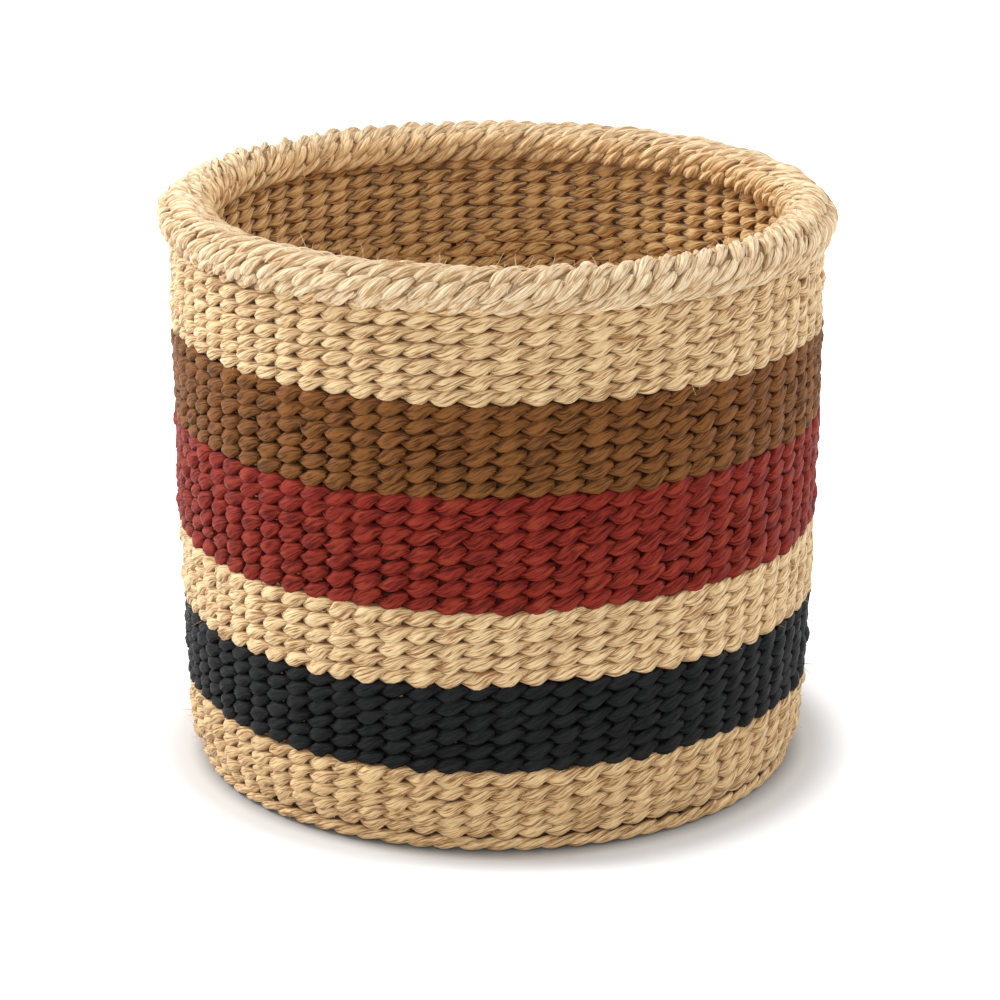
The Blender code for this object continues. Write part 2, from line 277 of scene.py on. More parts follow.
def skins(row):
    """Outer and inner skin at a row coordinate, each as (radius, height); rows below 0 are the base."""
    height = np.interp(row, ROW_MARKS, LEVELS) + TOP_ROW_PITCH * np.maximum(row - TOP_ROW, 0.0)
    on_wall = row >= 0
    base_radius = NOTCH_RADIUS + BASE_ROW_PITCH * row
    outer_radius = np.where(on_wall, wall_outer_radius(height), base_radius)
    outer = np.stack([outer_radius, np.where(on_wall, height, 0.0)], axis=-1)
    wall_row = INNER_CORNER[-1][0] + 1
    wall_height = np.interp(wall_row, ROW_MARKS, LEVELS)
    rows = [INNER_CORNER[0][0] - 1] + [corner[0] for corner in INNER_CORNER] + [wall_row]
    radii = [NOTCH_RADIUS + BASE_ROW_PITCH * rows[0]] + [corner[1] for corner in INNER_CORNER]
    radii.append(float(wall_outer_radius(wall_height)) - WALL_THICKNESS)
    heights = [BASE_THICKNESS] + [corner[2] for corner in INNER_CORNER] + [wall_height]
    inner_radius = np.where(row < rows[0], base_radius, np.interp(row, rows, radii))
    inner_radius = np.where(row > wall_row, wall_outer_radius(height) - WALL_THICKNESS, inner_radius)
    inner_height = np.where(row > wall_row, height, np.interp(row, rows, heights))
    return outer, np.stack([inner_radius, inner_height], axis=-1)


def unit(vectors):
    return vectors / np.maximum(np.linalg.norm(vectors, axis=-1, keepdims=True), 1e-12)


def around(section, angle):
    """Turns (radius, height) pairs into points in space."""
    radius = section[..., 0]
    return np.stack([radius * np.cos(angle), radius * np.sin(angle), section[..., 1]], axis=-1)


def level_outward(angle):
    """Unit vectors straight away from the basket's axis."""
    return np.stack([np.cos(angle), np.sin(angle), 0 * angle], axis=-1)


def smooth(share):
    share = np.clip(share, 0.0, 1.0)
    return share * share * (3 - 2 * share)


def bump_at(angle, middle, spread):
    """One smooth hump round the wall, 1 at its middle, which is given with its spread in degrees."""
    away = np.mod(angle - math.radians(middle) + math.pi, FULL_TURN) - math.pi
    return np.exp(-((away / math.radians(spread)) ** 2))


# Where the rows sag, and where the black band rises: angle and half width of the hump, in degrees
SAG_AT = (-106.0, 33.0)
RISE_AT = (-78.0, 38.0)
RISE_HEIGHT = 17 * MM

# Height and width of the foot, which is drawn in, and the lowest that any point may lie
FOOT_HEIGHT = 16 * MM
FOOT_FADE = 15 * MM
LOWEST_POINT = 0.05 * MM

# Heights in the wall, and how far the rows there have moved up or down
ROW_DRIFT = (
    [0.0, 30 * MM, 90 * MM, 128 * MM, 168 * MM, 203 * MM],
    [0.0, -1.0 * MM, -1.0 * MM, 0.9 * MM, 0.8 * MM, 0.0],
)


def hand_shape(points):
    """Moves points as the hand-made basket leaves a true ring: by a few millimetres at most."""
    shape = bpy.context.scene.kiondo_shape
    radius = np.linalg.norm(points[:, :2], axis=-1)
    angle = np.arctan2(points[:, 1], points[:, 0])
    height = points[:, 2]
    share = height / RIM_MIDDLE
    rim = smooth((share - 0.55) / 0.4)
    above_foot = smooth(share / 0.15)
    tilt = shape.rim_tilt * (1 + points[:, 1] / RIM_RADIUS) / 2
    lift = -rim * (tilt + shape.rim_roll * points[:, 0] / RIM_RADIUS)
    lift = lift + shape.row_drift * np.interp(height, *ROW_DRIFT)
    sag = shape.front_sag * bump_at(angle, *SAG_AT)
    lift = lift - sag * above_foot * (1 - rim)
    rise = shape.front_rise * bump_at(angle, *RISE_AT)
    lift = lift + rise * np.exp(-(((height - LEVELS[2]) / RISE_HEIGHT) ** 2))
    foot = np.clip(1 - height / FOOT_HEIGHT, 0.0, 1.0)
    foot = foot * smooth((radius - 0.8 * FOOT_OUTER_RADIUS) / FOOT_FADE)
    scale = 1 - shape.foot_inset * foot / np.maximum(radius, MM)
    moved = points.copy()
    moved[:, :2] *= scale[:, None]
    moved[:, 0] -= shape.foot_shift * smooth(1 - share / 0.3)
    moved[:, 2] = np.maximum(moved[:, 2] + lift, LOWEST_POINT)
    return moved


def corner_map(corners):
    """Map positions of the four corners of each quad, from pairs of tables."""
    return np.stack([np.stack(pair, axis=-1) for pair in corners], axis=-2).reshape(-1, 2)


class Strands:
    """Gathers tubes of fibre into one mesh, with the maps and values that its material reads."""

    def __init__(self, sides, edge_shade=0.0):
        self.sides = sides
        self.edge_shade = edge_shade
        self.points = []
        self.quads = []
        self.caps = []
        self.maps = []
        self.values = {"tint": [], "warmth": [], "depth": [], "inside": []}
        self.count = 0

    def add(self, centres, outward, half_depth, half_width, relief=1.0, twist=0.0, offset=0.0, **values):
        """One tube: rings of points round a line of centres, with closed ends.

        outward gives the direction of each ring's depth. The half sizes, the twist and the values tint,
        warmth, depth and inside are each one number or one for each ring. relief may be a table of one
        row per ring and one column per side, which scales the distance of each point from the centre.
        offset moves the map along the tube, so that no two tubes show the same fibres.
        """
        sides = self.sides
        rings = len(centres)
        half_depth = half_depth * np.ones(rings)
        half_width = half_width * np.ones(rings)
        along = unit(np.gradient(centres, axis=0))
        outward = unit(outward - along * np.sum(outward * along, axis=-1, keepdims=True))
        across = np.cross(along, outward)
        turn = FULL_TURN * np.arange(sides) / sides + np.reshape(twist * np.ones(rings), (-1, 1))
        depth = (half_depth[:, None] * np.cos(turn) * relief)[..., None]
        width = (half_width[:, None] * np.sin(turn) * relief)[..., None]
        points = centres[:, None, :] + depth * outward[:, None, :] + width * across[:, None, :]
        first = self.count + sides * np.arange(rings - 1)[:, None]
        second = first + sides
        side = np.arange(sides)[None, :]
        after = (side + 1) % sides
        quads = np.stack([first + side, first + after, second + after, second + side], axis=-1)
        distance = np.concatenate([[0.0], np.cumsum(np.linalg.norm(np.diff(centres, axis=0), axis=-1))])
        size = FULL_TURN * float(np.mean(np.sqrt((half_depth**2 + half_width**2) / 2))) / sides
        low = (side + offset * 7.3) * size + np.zeros((rings - 1, 1))
        high = low + size
        start = distance[:-1, None] + offset + 0 * low
        end = distance[1:, None] + offset + 0 * low
        self.maps.append(corner_map([(start, low), (start, high), (end, high), (end, low)]))
        self.points.append(points.reshape(-1, 3))
        self.quads.append(quads.reshape(-1, 4))
        last = self.count + sides * (rings - 1)
        self.caps.append(self.count + np.arange(sides)[::-1])
        self.caps.append(last + np.arange(sides))
        for title, store in self.values.items():
            store.append(np.repeat(values.get(title, 0.0) * np.ones(rings), sides))
        # Depth also grows towards the two edges of the strand, where it meets its neighbours: painted
        # shade in the groove between them
        edge = np.clip((np.abs(np.sin(turn)) - EDGE_START) / EDGE_FADE, 0.0, 1.0)
        self.values["depth"][-1] = self.values["depth"][-1] + self.edge_shade * edge.ravel()
        self.count += rings * sides

    def build(self, name, tone, slot, *nodes):
        """Makes the object with the material of its tone, hangs it under the root body and hides the
        solids it stands for.
        """
        sides = self.sides
        points = hand_shape(np.concatenate(self.points))
        quads = np.concatenate(self.quads)
        caps = np.stack(self.caps)
        mesh = bpy.data.meshes.new(name)
        mesh.vertices.add(len(points))
        mesh.vertices.foreach_set("co", points.ravel())
        corners = np.concatenate([quads.ravel(), caps.ravel()])
        mesh.loops.add(len(corners))
        mesh.loops.foreach_set("vertex_index", corners)
        cap_starts = quads.size + sides * np.arange(len(caps))
        starts = np.concatenate([4 * np.arange(len(quads)), cap_starts])
        mesh.polygons.add(len(starts))
        mesh.polygons.foreach_set("loop_start", starts)
        mesh.update(calc_edges=True)
        mesh.polygons.foreach_set("use_smooth", np.ones(len(starts), dtype=bool))

        strand_map = np.concatenate([*self.maps, np.zeros((caps.size, 2))])
        mesh.uv_layers.new(name="Strand")
        mesh.uv_layers["Strand"].data.foreach_set("uv", strand_map.ravel())
        mesh.uv_layers.new(name="OFBake")
        mesh.uv_layers["OFBake"].data.foreach_set("uv", self.atlas(len(quads), len(caps)).ravel())
        for title, store in self.values.items():
            layer = mesh.attributes.new(title, "FLOAT", "POINT")
            layer.data.foreach_set("value", np.concatenate(store))
        mesh.materials.append(sisal_material(tone))
        item = bpy.data.objects.new(name, mesh)
        bpy.context.scene.collection.objects.link(item)
        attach(item, "root")
        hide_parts(*nodes)

    def atlas(self, quads, caps):
        """Map for baking: rings of quads in rows of cells, then one cell for each cap."""
        sides = self.sides
        rings = quads // sides
        cells = rings + caps
        per_strip = max(4, int(math.sqrt(cells * sides)))
        strips = cells // per_strip + 1
        cell_width = 1 / per_strip
        cell_height = 1 / strips
        margin = 0.06
        ring = np.repeat(np.arange(rings), sides)
        side = np.tile(np.arange(sides), rings)
        left = (ring % per_strip) * cell_width
        row_low = (ring // per_strip + margin) * cell_height
        step = cell_height * (1 - 2 * margin) / sides
        low = row_low + side * step
        high = low + step
        right = left + cell_width
        quad_map = corner_map([(left, low), (left, high), (right, high), (right, low)])
        cap = rings + np.arange(caps)
        turn = FULL_TURN * np.arange(sides) / sides
        middle_u = ((cap % per_strip) + 0.5) * cell_width
        middle_v = (cap // per_strip + 0.5) * cell_height
        cap_u = middle_u[:, None] + 0.4 * cell_width * np.cos(turn)[None, :]
        cap_v = middle_v[:, None] + 0.4 * cell_height * np.sin(turn)[None, :]
        cap_map = np.stack([cap_u, cap_v], axis=-1).reshape(-1, 2)
        return np.concatenate([quad_map, cap_map])


def map_offset(random):
    """Where a strand starts in its texture, in metres."""
    return random.uniform(0.0, 3.0)


def per_bead(random, bead, spread):
    """A random value for each bead, given to all its rings."""
    return random.normal(0.0, spread, bead.max() + 1)[bead]


def fibre_relief(random, rings, sides, samples, depth):
    """Ridges of fibre along a tube, each fading in and out over a stitch or so."""
    knots = rings // samples + 3
    ridge = np.where(np.arange(sides) % 2 == 0, 0.35, -0.35)
    heights = ridge[None, :] + random.normal(0.0, 0.75, (knots, sides))
    place = np.arange(rings) / samples
    whole = place.astype(int)
    share = smooth(place - whole)[:, None]
    return 1 + depth * lerp(heights[whole], heights[whole + 1], share)


def drift(angle, row, seed):
    """Slow unevenness round the wall, from -1 to 1."""
    value = np.sin(3 * angle + 0.7 * row + seed) + np.sin(7 * angle - 0.41 * row + 2.3 * seed)
    return (value + np.sin(13 * angle + 1.13 * row + 4.1 * seed)) / 3


def column_sway(angle, row):
    """How far the columns of beads wander sideways, in stitches; near columns wander alike."""
    value = np.sin(5 * angle + 0.31 * row) + np.sin(11 * angle - 0.57 * row + 1.0)
    return (value + np.sin(31 * angle + 0.83 * row + 2.0) + np.sin(47 * angle - 1.3 * row)) / 4


def bead_wave(stitch, face, samples):
    """Places, lean, swing and bead number of a strand along its stitches.

    Face 0 or 1 is one of two strands that change sides at each warp. Face "outer" or "inner" is one of
    two strands that cross twice between two warps, so that each keeps to its own side of the wall: it
    goes in above the middle of the row, folds back inside and comes out again below the middle.
    """
    sizes = bpy.context.scene.kiondo_weave
    if face in (0, 1):
        phase = math.pi * (stitch - face)
        swing = np.cos(phase + sizes.skew * np.cos(phase) - sizes.overlap * np.sin(phase))
        return stitch, np.sin(phase), swing, np.floor(stitch - face + 0.5)
    bead = np.floor(stitch + 0.5)
    part = stitch - bead + 0.5
    fold = 1.5 / samples
    show = np.clip((part - fold / 2) / (1 - fold), 0.0, 1.0)
    back = np.where(part < 0.5, part + 1, part) - (1 - fold / 2)
    folding = np.abs(part - 0.5) > 0.5 - fold / 2
    folded_place = 0.5 - (2 * BEAD_REACH - 1) * (back / fold - 0.5)
    place = np.where(folding, folded_place, (2 * show - 1) * BEAD_REACH)
    bead = np.where(folding, np.floor(stitch - 0.5), bead)
    phase = math.pi * np.clip(place, -BEAD_REACH, BEAD_REACH)
    swing = np.cos(0.8 * phase + sizes.skew * np.cos(phase))
    lean = np.where(folding, 1 - 2 * np.clip(back / fold, 0, 1), np.sin(phase))
    if face == "outer":
        swing = np.where(folding, -FOLD_SWING, np.maximum(swing, OUTER_SWING))
        return bead + place, lean, swing, bead
    swing = np.where(folding, FOLD_SWING, np.maximum(swing, INNER_SWING))
    return bead + place, -lean, -swing, bead


def fill_rows(start, end):
    """The flattened fibre between the outer and inner beads, which closes the holes of the weave,
    coloured in the darkest painted shade.
    """
    filling = Strands(sides=8)
    stitch = np.arange(start * STITCHES, end * STITCHES + 0.1, 0.5)
    row, angle = wall_place(stitch)
    low = row - 0.5
    high = np.minimum(row + 0.5, float(TOP_ROW))
    above, _ = skins(high)
    below, _ = skins(low)
    outer, inner = skins((low + high) / 2)
    filling.add(
        around((outer + inner) / 2, angle),
        around(unit(outer - inner), angle),
        FILLING_DEPTH,
        np.minimum(FILLING_SHARE * np.linalg.norm(above - below, axis=-1), FILLING_WIDTH),
        # Depth 2 paints the filling in the darkest shade
        depth=2.0,
    )
    return filling


def wall_strand(strands, random, start, end, face):
    """One weft strand of a pair, along the spiral from one row coordinate to another."""
    first = start * STITCHES - BAND_OVERLAP
    last = end * STITCHES + BAND_OVERLAP
    count = int(round((last - first) * WALL_SAMPLES)) + 1
    stitch = np.linspace(first, last, count)
    zone = (LOWEST_ROW, TOP_ROW + ROWS_ABOVE_TOP)
    sweep_strand(strands, random, stitch, wall_place, face, WALL_SAMPLES, zone)


def lay_corner_cord(strands, random):
    """Two plies of weft inside, which close the corner where the spiral climbs from base to wall."""
    stitch = np.arange(STITCHES * CORNER_SAMPLES + 1) / CORNER_SAMPLES
    angle = TURN_START + stitch * STITCH_ANGLE
    for ply in (0, 1):
        lay = math.pi * (stitch - ply)
        radius = CORNER_RADIUS - PLY_OFFSET * np.cos(lay)
        height = CORNER_HEIGHT + PLY_OFFSET * np.sin(lay)
        strands.add(
            around(np.stack([radius, height], axis=-1), angle),
            level_outward(angle),
            CORNER_PLY,
            CORNER_PLY,
            fibre_relief(random, len(stitch), strands.sides, CORNER_SAMPLES, CORD_RELIEF),
            -PLY_TWIST * stitch,
            map_offset(random),
            tint=random.normal(0.0, 1.0, STITCHES + 2)[np.floor(stitch + 0.5 * ply).astype(int)],
            # Painted shade on each ply where it lies behind the other, and the painted shade of the
            # inside
            depth=0.5 - 0.5 * np.cos(lay),
            inside=1.0,
        )


def wall_place(stitch):
    """Row coordinate and angle of stitches counted up the wall."""
    row = stitch / STITCHES
    rough = bpy.context.scene.kiondo_weave.unevenness
    sway = COLUMN_SWAY * rough * column_sway(stitch * STITCH_ANGLE, row)
    return row, TURN_START + (stitch + sway) * STITCH_ANGLE


def sweep_strand(strands, random, stitch, find_place, face, samples, zone):
    """Adds a weft strand; find_place gives the row and angle of a stitch, and zone bounds the rows."""
    sizes = bpy.context.scene.kiondo_weave
    stitch, lean_wave, swing_wave, bead = bead_wave(stitch, face, samples)
    exposed = swing_wave**2
    if face == "outer":
        exposed = np.maximum(swing_wave, 0.0) ** 2
    row, angle = find_place(stitch)
    low = np.maximum(row - 0.5, zone[0])
    high = np.minimum(row + 0.5, zone[1])
    middle = (low + high) / 2
    share = np.clip(high - low, 0.35, 1.0)
    bead = (bead - bead.min()).astype(int)
    rough = sizes.unevenness
    shift = per_bead(random, bead, BEAD_SHIFT * rough) * exposed
    push = per_bead(random, bead, BEAD_PUSH * rough) * exposed * np.sign(swing_wave)
    swell = 1 + per_bead(random, bead, BEAD_SWELL * rough) * exposed
    lean = sizes.lean * (1 + per_bead(random, bead, LEAN_SPREAD * rough) * exposed)
    place = middle + lean * share * lean_wave + shift
    place = place + ROW_WANDER * rough * drift(angle, row, 1.7)
    if zone[1] > 0:
        place = np.maximum(place, LOWEST_PLACE)
    outer, inner = skins(place)
    through = unit(outer - inner)
    travel = sizes.swing * swing_wave + push + WALL_WANDER * rough * drift(angle, row, 5.1)
    section = (outer + inner) / 2 + through * travel[:, None]
    above, _ = skins(middle + PITCH_STEP)
    below, _ = skins(middle - PITCH_STEP)
    pitch = np.linalg.norm(above - below, axis=-1) / (2 * PITCH_STEP)
    pitch = np.clip(pitch, LEAST_PITCH, MOST_PITCH)
    tip = sizes.face_at_tip
    if face == "inner":
        tip = INNER_TIP
    elif face == "outer":
        tip = tip * np.where(swing_wave < -0.2, 0.5, 1.0)
    half_depth = lerp(tip, sizes.face_at_bead, exposed) * swell
    half_width = pitch * share * lerp(sizes.edge_at_tip, sizes.edge_at_bead, exposed**1.25) * swell
    to_end = np.minimum(np.arange(len(stitch)), np.arange(len(stitch))[::-1]) / samples
    taper = lerp(END_SIZE, 1.0, smooth(to_end / END_LENGTH))
    relief = fibre_relief(random, len(stitch), strands.sides, samples, sizes.fibre_relief)
    # Painted shade where the strand dives between the warps, darker still where the inner strand folds
    # back
    deep = 1 - exposed
    if face == "inner":
        deep = deep + smooth((0.45 - np.abs(swing_wave)) / 0.1)
    strands.add(
        around(section, angle),
        around(through, angle),
        half_depth * taper,
        half_width * taper,
        relief,
        -sizes.twist * stitch + per_bead(random, bead, 0.1),
        map_offset(random),
        tint=per_bead(random, bead, 1.0),
        warmth=per_bead(random, bead, 1.0),
        depth=deep,
        # Painted warm shade of the inside, on the inner strand and where a strand swings inwards
        inside=1.0 if face == "inner" else smooth((0.1 - swing_wave) / 0.5),
    )


class Socket:
    """A shader socket that takes part in sums; each operator adds its Math node."""

    def __init__(self, nodes, socket):
        self.nodes = nodes
        self.socket = socket

    def maths(self, operation, *values):
        return self.nodes.add("ShaderNodeMath", {"operation": operation}, dict(enumerate(values)))

    def __add__(self, other):
        return self.maths("ADD", self, other)

    def __radd__(self, other):
        return self.maths("ADD", other, self)

    def __sub__(self, other):
        return self.maths("SUBTRACT", self, other)

    def __rsub__(self, other):
        return self.maths("SUBTRACT", other, self)

    def __mul__(self, other):
        return self.maths("MULTIPLY", self, other)

    def __rmul__(self, other):
        return self.maths("MULTIPLY", other, self)

    def clamped(self, low, high):
        return self.nodes.add("ShaderNodeClamp", {}, {"Value": self, "Min": low, "Max": high})


class Nodes:
    """The node tree of one material or world."""

    def __init__(self, owner):
        owner.use_nodes = True
        self.tree = owner.node_tree
        self.tree.nodes.clear()

    def add(self, kind, settings, values, output=0):
        """Adds a node: its settings first, then the values or links of its sockets."""
        node = self.tree.nodes.new(kind)
        for name, value in settings.items():
            setattr(node, name, value)
        for name, value in values.items():
            if isinstance(value, Socket):
                self.tree.links.new(value.socket, node.inputs[name])
            else:
                node.inputs[name].default_value = value
        return Socket(self, node.outputs[output]) if node.outputs else None

    def attribute(self, name):
        """A value that the mesh carries at its points."""
        return self.add("ShaderNodeAttribute", {"attribute_name": name}, {}, 2)

    def rise(self, value, start, end, height):
        """Climbs smoothly from 0 to a height while a value goes from start to end."""
        ends = {"Value": value, "From Min": start, "From Max": end, "To Min": 0.0, "To Max": height}
        return self.add("ShaderNodeMapRange", {"interpolation_type": "SMOOTHSTEP"}, ends)

    def seen(self):
        """1 where the camera sees a surface itself, in a mirror or through glass."""
        path = "ShaderNodeLightPath"
        seen = self.add(path, {}, {}, "Is Camera Ray") + self.add(path, {}, {}, "Is Glossy Ray")
        return (seen + self.add(path, {}, {}, "Is Transmission Ray")).clamped(0.0, 1.0)

    def surface(self, values):
        """Ends a material with its surface."""
        shader = self.add("ShaderNodeBsdfPrincipled", {}, values)
        self.add("ShaderNodeOutputMaterial", {}, {"Surface": shader})

    def mix(self, factor, low, high, blend="MIX"):
        """Mixes two colours."""
        settings = {"data_type": "RGBA", "blend_type": blend}
        return self.add("ShaderNodeMix", settings, {0: factor, 6: low, 7: high}, 2)


def stretched_noise(nodes, strand, along, across, detail):
    """Noise drawn out along the strand, at so many waves a metre along and across it."""
    scale = {0: strand, 1: (along, across, 1)}
    place = nodes.add("ShaderNodeVectorMath", {"operation": "MULTIPLY"}, scale)
    values = {"Vector": place, "Scale": 1.0, "Detail": detail, "Roughness": 0.6}
    return nodes.add("ShaderNodeTexNoise", {"noise_dimensions": "2D"}, values)


def sisal(name, light, dark, inside_painted_shade, fleck, fleck_share, bead_spread, specular, sheen):
    """Material of twisted sisal: fine fibres along the strand, tones that differ from bead to bead, and
    painted shade in the grooves, deep in the weave and on the inside.
    """
    material = bpy.data.materials.new(name)
    nodes = Nodes(material)
    strand = nodes.add("ShaderNodeUVMap", {"uv_map": "Strand"}, {})
    fine = stretched_noise(nodes, strand, 230, 2700, 1.0)
    fibre = stretched_noise(nodes, strand, 120, 1300, 1.0)
    patch = stretched_noise(nodes, strand, 130, 420, 1.0)
    tint = nodes.attribute("tint")
    warmth = nodes.attribute("warmth")
    depth = nodes.attribute("depth")
    inside = nodes.attribute("inside")
    # Tone from dark to light, by fibre, patch and bead
    tone = 0.72 + 1.5 * (fibre - 0.5) + 1.5 * (fine - 0.5) + 0.8 * (patch - 0.5) + bead_spread * tint
    # Darker thin lines between fibres as painted shade in their grooves, and deeper painted shade where
    # strands meet and dive into the weave
    groove_shade = (8.0 * (0.44 - fine)).clamped(0.0, 1.0) * 0.16
    groove_shade = groove_shade + (7.0 * (0.44 - fibre)).clamped(0.0, 1.0) * 0.34
    tone = (tone - 0.3 * depth * depth - groove_shade).clamped(0.0, 1.0)
    colour = nodes.mix(tone, (*dark, 1.0), (*light, 1.0))
    # Warmer flecks of undyed or scorched fibre
    fleck_mask = (8.0 * (patch - 0.6) + 0.35 * warmth + 2.5 * (fibre - 0.5)).clamped(0.0, 1.0)
    colour = nodes.mix(fleck_mask * fleck_share, colour, (*fleck, 1.0))
    # Shade deep in the weave, where little light comes
    shade = (0.8 * (depth - 0.85).clamped(0.0, 1.0) + 0.12 * groove_shade).clamped(0.0, 0.92)
    colour = nodes.mix(shade, colour, (*[0.25 * value for value in dark], 1.0))
    # Painted warm shade on the inside of the basket
    colour = nodes.mix(inside, colour, (*inside_painted_shade, 1.0), "MULTIPLY")
    bump = {"Strength": 1.0, "Distance": 0.4 * MM, "Height": 0.5 * fine + 0.5 * fibre}
    surface = {
        "Base Color": colour,
        "Roughness": 0.72 - 0.25 * fine,
        "Specular IOR Level": specular,
        "Sheen Weight": sheen,
        "Sheen Roughness": 0.5,
        "Normal": nodes.add("ShaderNodeBump", {}, bump),
    }
    nodes.surface(surface)
    return material


# Fleck colour, its share, how much one bead's tone differs from the next, gloss and sheen
SISAL_TONES = {
    "natural": ((0.55, 0.33, 0.15), 0.35, 0.06, 0.3, 0.1),
    "foot": ((0.50, 0.29, 0.12), 0.36, 0.07, 0.3, 0.1),
    # The rim's lighter copy of the undyed tone paints the top light on the rim
    "rim": ((0.60, 0.38, 0.18), 0.3, 0.06, 0.3, 0.1),
    "brown": ((0.26, 0.10, 0.025), 0.4, 0.07, 0.11, 0.0),
    "red": ((0.34, 0.06, 0.025), 0.4, 0.07, 0.11, 0.0),
    "black": ((0.02, 0.02, 0.018), 0.3, 0.1, 0.1, 0.0),
}


def sisal_material(tone):
    """The material of this tone, made when it is first asked for."""
    name = "dressed_" + tone
    if name in bpy.data.materials:
        return bpy.data.materials[name]
    colours = bpy.context.scene.kiondo_colours
    inside_painted_shade = tuple(colours.inside_painted_shade)
    light = tuple(getattr(colours, tone + "_light"))
    dark = tuple(getattr(colours, tone + "_dark"))
    return sisal(name, light, dark, inside_painted_shade, *SISAL_TONES[tone])


class KIONDO_OT_weave_bands(bpy.types.Operator):
    """Twines the two strands of every band of the wall and lays the filling between them."""

    bl_idname = "kiondo.weave_bands"
    bl_label = "Weave bands"

    def execute(self, context):
        for number, (node, tone, slot, rows) in enumerate(BANDS):
            start = ROW_MARKS[number]
            end = start + rows + (ROWS_IN_RIM if start + rows == TOP_ROW else 0.0)
            undyed = slot == "natural_sisal"
            faces = (0, 1) if undyed else ("outer", "inner")
            for side, face in enumerate(faces):
                random = np.random.default_rng(100 + 10 * number + side)
                strands = Strands(sides=20, edge_shade=0.85)
                wall_strand(strands, random, start, end, face)
                if start == 0 and side == 1:
                    lay_corner_cord(strands, random)
                shown = ("natural", "natural_sisal") if face == "inner" else (tone, slot)
                strands.build(f"{node}_strand_{'ab'[side]}", *shown, node)
            # The lowest filling also closes the last row of the base
            base_edge = 1.0 if start == 0 else 0.0
            fill_rows(start - base_edge, start + rows).build(f"{node}_filling", tone, slot, node)
        return {"FINISHED"}


# Stages of the base: where each starts and ends, the degrees between its warps and how far they spread
BASE_STAGES = (
    (START_RADIUS, FIRST_ADDING_RADIUS, 20.0, 5.0),
    (FIRST_ADDING_RADIUS, SECOND_ADDING_RADIUS, 10.0, 2.5),
    (SECOND_ADDING_RADIUS, NOTCH_RADIUS, 5.0, 0.0),
)


def base_warp_angles(last_angle):
    """Angles of the warps that the base spiral meets one after another, from the centre outwards."""
    start_row = (START_RADIUS + BASE_ROW_PITCH / 2 - NOTCH_RADIUS) / BASE_ROW_PITCH
    angle = TURN_START + start_row * FULL_TURN
    angles = []
    while angle < last_angle - 1e-6:
        radius = NOTCH_RADIUS + BASE_ROW_PITCH * (angle - TURN_START) / FULL_TURN
        start, end, step, spread = next(stage for stage in BASE_STAGES if radius < stage[1])
        share = min(max((radius - start) / (end - start), 0.0), 1.0)
        index = math.floor((math.degrees(angle) - step / 2) / step + 0.5) + 1
        nominal = step / 2 + step * index
        towards = spread if index % 2 == 0 else -spread
        angles.append(math.radians(nominal + towards * share))
        angle = math.radians(nominal)
    return np.array(angles)


class KIONDO_OT_weave_base(bpy.types.Operator):
    """Twines the spiral of the flat base from the cross of warps outwards."""

    bl_idname = "kiondo.weave_base"
    bl_label = "Weave base"

    def execute(self, context):
        angles = np.append(base_warp_angles(TURN_START), TURN_START)
        numbers = np.arange(len(angles)) - (len(angles) - 1)
        rows = (angles - TURN_START) / FULL_TURN
        change = (FIRST_ADDING_RADIUS - NOTCH_RADIUS) / BASE_ROW_PITCH
        split = int(numbers[np.argmin(np.abs(rows - change))])
        zone = (float(rows[0]) - 0.5, 0.0)

        def base_place(stitch):
            angle = np.interp(stitch, numbers, angles)
            return (angle - TURN_START) / FULL_TURN, angle

        runs = (("start_weft", int(numbers[0]), split, 300), ("base_weft", split, 0, 310))
        for node, first, last, seed in runs:
            for side, letter in enumerate("ab"):
                random = np.random.default_rng(seed + side)
                count = int((last - first) * BASE_SAMPLES) + 1
                stitch = np.linspace(first, last, count)
                strands = Strands(sides=16, edge_shade=0.65)
                sweep_strand(strands, random, stitch, base_place, side, BASE_SAMPLES, zone)
                strands.build(f"{node}_strand_{letter}", "foot", "natural_sisal", node)
        return {"FINISHED"}


def polar(radius, degrees, height):
    angle = math.radians(degrees)
    return (radius * math.cos(angle), radius * math.sin(angle), height)


# Warps, on the same paths as their solids, and the wad of fibre in the cross of the first nine
WARP_WIDTH = 3.2 * MM
WARP_THICKNESS = 2.6 * MM
WARP_LEVEL = BASE_THICKNESS / 2
CROSS_REACH = 11.0 * MM
CROSS_SETTLE_RADIUS = 17.0 * MM
WARP_BEND_START = 104.72 * MM
WARP_BEND_END = 113.2 * MM
WARP_BEND_HEIGHT = 12.48 * MM
WARP_TURN_RADIUS = 110.0 * MM
FOLD_SETBACK = 3.6 * MM
FOLD_DEPTH = 3.0 * MM
WAD_RADIUS = START_RADIUS + 5.0 * MM
WAD_THICKNESS = 0.7 * MM
START_WARPS = 9
CROSS_LOWER_WARPS = 5
LEG_STEP = 20
WARP_STEP = 5


def wall_leg(degrees):
    """A warp from the corner of the base up to the rim."""
    bend = LEVELS[3]
    top = float(wall_outer_radius(LEVELS[-1])) - WALL_THICKNESS / 2
    return [
        polar(WARP_BEND_START, degrees, WARP_LEVEL),
        polar(WARP_BEND_END, degrees, WARP_BEND_HEIGHT),
        polar(float(wall_outer_radius(bend)) - WALL_THICKNESS / 2, degrees, bend),
        polar(top, degrees, LEVELS[-1] + 3 * MM),
    ]


def second_stage(first_stage):
    near = first_stage % LEG_STEP < LEG_STEP / 2
    return first_stage + (WARP_STEP / 2 if near else -WARP_STEP / 2)


def start_leg(index):
    degrees = LEG_STEP * (index + 0.5)
    first = degrees + (WARP_STEP if index % 2 == 0 else -WARP_STEP)
    second = second_stage(first)
    return [
        polar(CROSS_SETTLE_RADIUS, degrees, WARP_LEVEL),
        polar(FIRST_ADDING_RADIUS, first, WARP_LEVEL),
        polar(SECOND_ADDING_RADIUS, second, WARP_LEVEL),
    ] + wall_leg(second)


